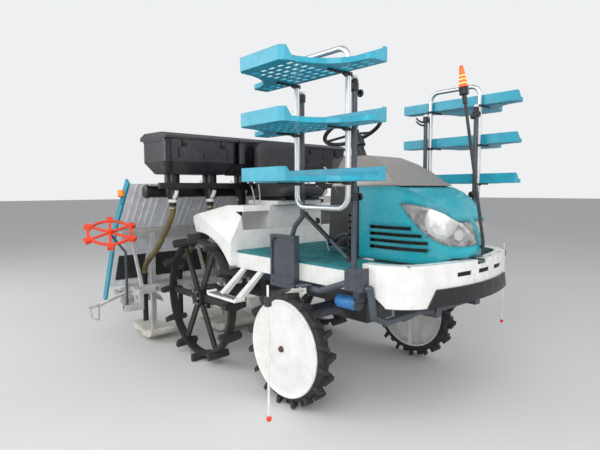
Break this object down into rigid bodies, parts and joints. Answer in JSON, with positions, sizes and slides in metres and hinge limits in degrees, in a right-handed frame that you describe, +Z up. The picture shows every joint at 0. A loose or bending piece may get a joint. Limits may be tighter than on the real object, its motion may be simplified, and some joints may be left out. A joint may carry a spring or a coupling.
{
  "type": "rice transplanter, riding, six rows",
  "caption": "Riding rice transplanter with spare-seedling racks over the front wheels, fertiliser hoppers behind the seat and a seedling platform with planting arms at the rear.",
  "frame": {"origin": "on the ground below the middle of the bounding box", "axes": "+X forward, +Y to the machine's left, +Z up"},
  "size_m": [2.9933, 2.4796, 1.876],
  "materials": {
    "dark_steel": "satin dark grey paint on steel",
    "engine_metal": "dull cast aluminium",
    "white_plastic": "glossy white moulding, a little soiled",
    "teal_plastic": "teal moulding",
    "dark_plastic": "matt black moulding",
    "bright_tube": "plain bright tube",
    "hose_khaki": "khaki hose",
    "white_paint": "white paint on pressed steel",
    "black_steel": "black paint on steel",
    "tyre_rubber": "black rubber",
    "black_rubber": "black rubber",
    "silver_plastic": "grey moulding",
    "lamp_glass": "clear lens",
    "zinc_steel": "plated steel",
    "cream_plastic": "cream moulding",
    "red_plastic": "red moulding"
  },
  "bodies": {
    "chassis": {"main_frame": "dark_steel", "engine_block": "engine_metal", "transmission": "engine_metal", "front_axle": "dark_steel", "rear_axle": "dark_steel", "floor_panel": "white_plastic", "floor_mat": "teal_plastic", "rear_body": "white_plastic", "front_bumper": "white_plastic", "bumper_strip": "dark_plastic", "dash_panel": "dark_plastic", "steering_column": "dark_plastic", "side_steps": "white_plastic", "side_bars": "dark_steel", "rack_posts": "dark_steel", "rack_loops": "bright_tube", "rack_trays_right": "teal_plastic", "rack_trays_left": "teal_plastic", "hoppers": "dark_plastic", "metering_units": "dark_plastic", "seedling_hoses": "hose_khaki"},
    "steer_wheel": {"steering_wheel": "dark_plastic"},
    "right_knuckle": {"knuckle_right": "dark_steel"},
    "left_knuckle": {"knuckle_left": "dark_steel"},
    "front_right_wheel": {"front_wheel_right": "white_paint", "front_tyre_right": "tyre_rubber"},
    "front_left_wheel": {"front_wheel_left": "white_paint", "front_tyre_left": "tyre_rubber"},
    "rear_right_wheel": {"rear_wheel_right": "black_steel", "rear_tyre_right": "tyre_rubber"},
    "rear_left_wheel": {"rear_wheel_left": "black_steel", "rear_tyre_left": "tyre_rubber"},
    "bonnet_body": {"bonnet": "teal_plastic", "bonnet_top": "silver_plastic", "headlamps": "lamp_glass", "centre_pole": "dark_plastic"},
    "seat_body": {"seat": "dark_plastic"},
    "lid_right": {"hopper_lid_right": "dark_plastic"},
    "lid_centre": {"hopper_lid_centre": "dark_plastic"},
    "lid_left": {"hopper_lid_left": "dark_plastic"},
    "link_lower": {"lower_links": "dark_steel"},
    "link_upper": {"upper_link": "dark_steel"},
    "planter": {"planting_frame": "zinc_steel", "planting_cases": "engine_metal", "floats": "cream_plastic", "planting_boots": "black_rubber", "side_guards": "zinc_steel"},
    "platform": {"seedling_platform": "silver_plastic", "platform_belts": "black_rubber", "platform_side_bars": "teal_plastic"},
    "rotors": {"planting_rotors": "engine_metal"},
    "arms_front": {"planting_arms_front": "zinc_steel"},
    "arms_rear": {"planting_arms_rear": "zinc_steel"},
    "row_arm_right": {"marker_arm_right": "dark_steel"},
    "row_arm_left": {"marker_arm_left": "dark_steel"},
    "row_wheel_right": {"marker_wheel_right": "red_plastic"},
    "row_wheel_left": {"marker_wheel_left": "red_plastic"},
    "side_rod_right": {"side_marker_right": "cream_plastic"},
    "side_rod_left": {"side_marker_left": "cream_plastic"}
  },
  "joints": [
    {"name": "steering_turn", "type": "hinge", "parent": "chassis", "child": "steer_wheel", "pos_m": [0.60624, 0, 1.58], "axis": [-0.4226, 0, 0.9063], "range_deg": [-360, 360]},
    {"name": "knuckle_turn_right", "type": "hinge", "parent": "chassis", "child": "right_knuckle", "pos_m": [0.66624, -0.505, 0.48], "axis": [0, 0, 1], "range_deg": [-40, 40]},
    {"name": "front_wheel_roll_right", "type": "hinge", "parent": "right_knuckle", "child": "front_right_wheel", "pos_m": [0.66624, -0.6, 0.325], "axis": [0, 1, 0], "continuous": true},
    {"name": "rear_wheel_roll_right", "type": "hinge", "parent": "chassis", "child": "rear_right_wheel", "pos_m": [-0.29376, -0.6, 0.45], "axis": [0, 1, 0], "continuous": true},
    {"name": "knuckle_turn_left", "type": "hinge", "parent": "chassis", "child": "left_knuckle", "pos_m": [0.66624, 0.505, 0.48], "axis": [0, 0, 1], "range_deg": [-40, 40]},
    {"name": "front_wheel_roll_left", "type": "hinge", "parent": "left_knuckle", "child": "front_left_wheel", "pos_m": [0.66624, 0.6, 0.325], "axis": [0, 1, 0], "continuous": true},
    {"name": "rear_wheel_roll_left", "type": "hinge", "parent": "chassis", "child": "rear_left_wheel", "pos_m": [-0.29376, 0.6, 0.45], "axis": [0, 1, 0], "continuous": true},
    {"name": "bonnet_tilt", "type": "hinge", "parent": "chassis", "child": "bonnet_body", "pos_m": [1.46624, 0, 0.856], "axis": [0, 1, 0], "range_deg": [0, 50]},
    {"name": "seat_tilt", "type": "hinge", "parent": "chassis", "child": "seat_body", "pos_m": [0.12124, 0, 1.133], "axis": [0, 1, 0], "range_deg": [0, 55]},
    {"name": "lid_open_right", "type": "hinge", "parent": "chassis", "child": "lid_right", "pos_m": [-0.61176, -0.58, 1.553], "axis": [0, -1, 0], "range_deg": [0, 80]},
    {"name": "lid_open_centre", "type": "hinge", "parent": "chassis", "child": "lid_centre", "pos_m": [-0.61176, 0, 1.553], "axis": [0, -1, 0], "range_deg": [0, 80]},
    {"name": "lid_open_left", "type": "hinge", "parent": "chassis", "child": "lid_left", "pos_m": [-0.61176, 0.58, 1.553], "axis": [0, -1, 0], "range_deg": [0, 80]},
    {"name": "planter_lift", "type": "hinge", "parent": "chassis", "child": "link_lower", "pos_m": [-0.33376, 0, 0.6349], "axis": [0, 1, 0], "range_deg": [0, 50], "deforming": ["seedling_hoses"]},
    {"name": "planter_level", "type": "hinge", "parent": "link_lower", "child": "planter", "pos_m": [-0.72659, 0, 0.46], "axis": [0, 1, 0], "range_deg": [-50, 0]},
    {"name": "upper_link_swing", "type": "hinge", "parent": "chassis", "child": "link_upper", "pos_m": [-0.33376, 0, 0.9149], "axis": [0, 1, 0], "range_deg": [0, 50]},
    {"name": "platform_shift", "type": "slide", "parent": "planter", "child": "platform", "axis": [0, 1, 0], "range_m": [-0.12, 0.12]},
    {"name": "rotor_turn", "type": "hinge", "parent": "planter", "child": "rotors", "pos_m": [-1.39376, 0, 0.29], "axis": [0, 1, 0], "continuous": true},
    {"name": "arm_turn_front", "type": "hinge", "parent": "rotors", "child": "arms_front", "pos_m": [-1.32329, 0, 0.26435], "axis": [0, 1, 0], "continuous": true},
    {"name": "arm_turn_rear", "type": "hinge", "parent": "rotors", "child": "arms_rear", "pos_m": [-1.46424, 0, 0.31565], "axis": [0, 1, 0], "continuous": true},
    {"name": "row_arm_out_right", "type": "hinge", "parent": "planter", "child": "row_arm_right", "pos_m": [-0.70376, -0.96, 0.36], "axis": [1, 0, 0], "range_deg": [0, 80]},
    {"name": "row_wheel_roll_right", "type": "hinge", "parent": "row_arm_right", "child": "row_wheel_right", "pos_m": [-0.74476, -1.05, 0.902], "axis": [0.4698, -0.171, 0.866], "continuous": true},
    {"name": "side_rod_fold_right", "type": "hinge", "parent": "chassis", "child": "side_rod_right", "pos_m": [0.80624, -0.617, 0.672], "axis": [0, 0, 1], "range_deg": [0, 50]},
    {"name": "row_arm_out_left", "type": "hinge", "parent": "planter", "child": "row_arm_left", "pos_m": [-0.70376, 0.96, 0.36], "axis": [-1, 0, 0], "range_deg": [0, 80]},
    {"name": "row_wheel_roll_left", "type": "hinge", "parent": "row_arm_left", "child": "row_wheel_left", "pos_m": [-0.74476, 1.05, 0.902], "axis": [0.4698, 0.171, 0.866], "continuous": true},
    {"name": "side_rod_fold_left", "type": "hinge", "parent": "chassis", "child": "side_rod_left", "pos_m": [0.80624, 0.617, 0.672], "axis": [0, 0, -1], "range_deg": [0, 50]}
  ],
  "couplings": [
    {"joint": "knuckle_turn_right", "follows": "steering_turn", "ratio": 0.11111},
    {"joint": "knuckle_turn_left", "follows": "steering_turn", "ratio": 0.11111},
    {"joint": "planter_level", "follows": "planter_lift", "ratio": -1},
    {"joint": "upper_link_swing", "follows": "planter_lift", "ratio": 1},
    {"joint": "arm_turn_front", "follows": "rotor_turn", "ratio": -1},
    {"joint": "arm_turn_rear", "follows": "rotor_turn", "ratio": -1}
  ]
}
